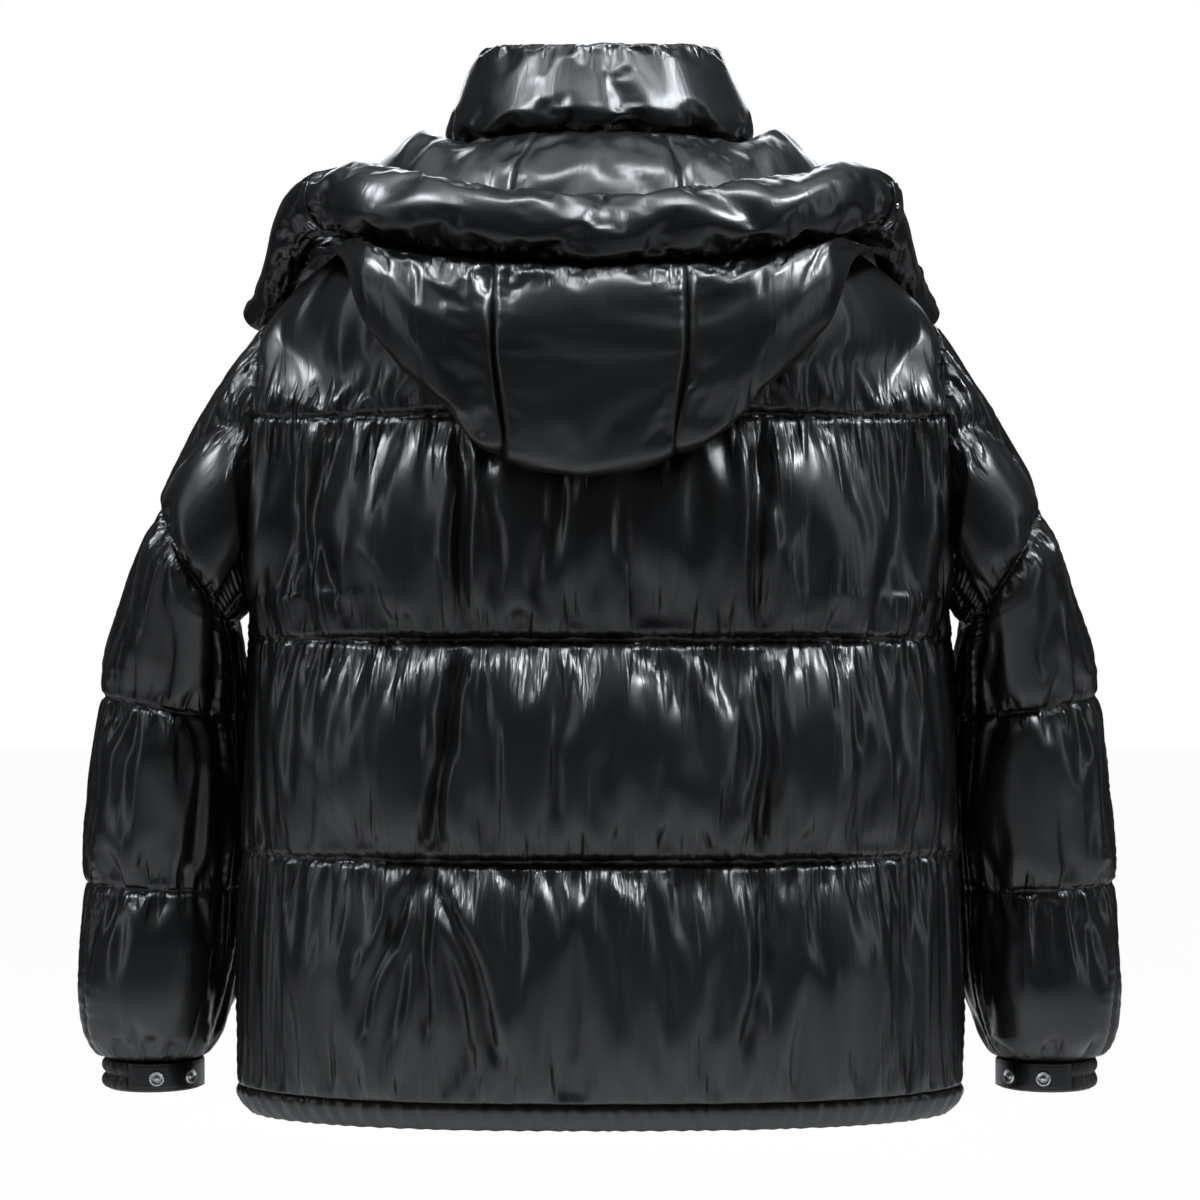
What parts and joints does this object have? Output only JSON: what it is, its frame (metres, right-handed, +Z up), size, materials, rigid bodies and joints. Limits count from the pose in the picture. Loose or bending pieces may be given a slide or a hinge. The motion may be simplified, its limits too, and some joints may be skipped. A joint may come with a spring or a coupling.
{
  "type": "hooded puffer jacket",
  "caption": "Quilted puffer jacket, zipped up and filled out, with a stand collar, a hood lying down the back, gathered cuffs and a drawn hem.",
  "frame": {"origin": "the middle of the neck seam, level with its sides, inside the collar", "axes": "+Z up, +Y towards the front with its zip, +X towards the wearer's right sleeve"},
  "size_m": [0.7952, 0.3659, 0.7939],
  "materials": {
    "shell": "glossy black nylon, tightly woven and lightly coated",
    "elastic": "gathered black nylon over elastic, half gloss",
    "zip_tape": "matt black woven tape",
    "zip_coil": "black moulded teeth, half gloss",
    "metal": "bright nickel plating"
  },
  "bodies": {
    "jacket": {"back": "shell", "front_left": "shell", "front_right": "shell", "sleeve_left_top": "shell", "sleeve_left_back": "shell", "sleeve_right_top": "shell", "sleeve_right_back": "shell", "collar": "shell", "hem_band": "shell", "hood_center": "shell", "hood_left": "shell", "hood_right": "shell", "hood_rim": "shell", "hood_tab_left": "shell", "hood_tab_right": "shell", "cuff_left": "elastic", "cuff_right": "elastic", "cuff_tab_left": "elastic", "cuff_tab_right": "elastic", "cuff_snap_left_a": "metal", "cuff_snap_left_b": "metal", "cuff_snap_right_a": "metal", "cuff_snap_right_b": "metal", "hood_snap_left": "metal", "hood_snap_right": "metal", "hood_stud_right": "metal", "zip_tape_left": "zip_tape", "zip_tape_right": "zip_tape", "zip_chain": "zip_coil", "zip_slider": "metal"},
    "pull_tab": {"zip_pull": "metal"}
  },
  "joints": [
    {"name": "pull_tab_swing", "type": "hinge", "parent": "jacket", "child": "pull_tab", "pos_m": [0, 0.09371, 0.01432], "axis": [1, 0, 0], "range_deg": [0, 150]}
  ]
}
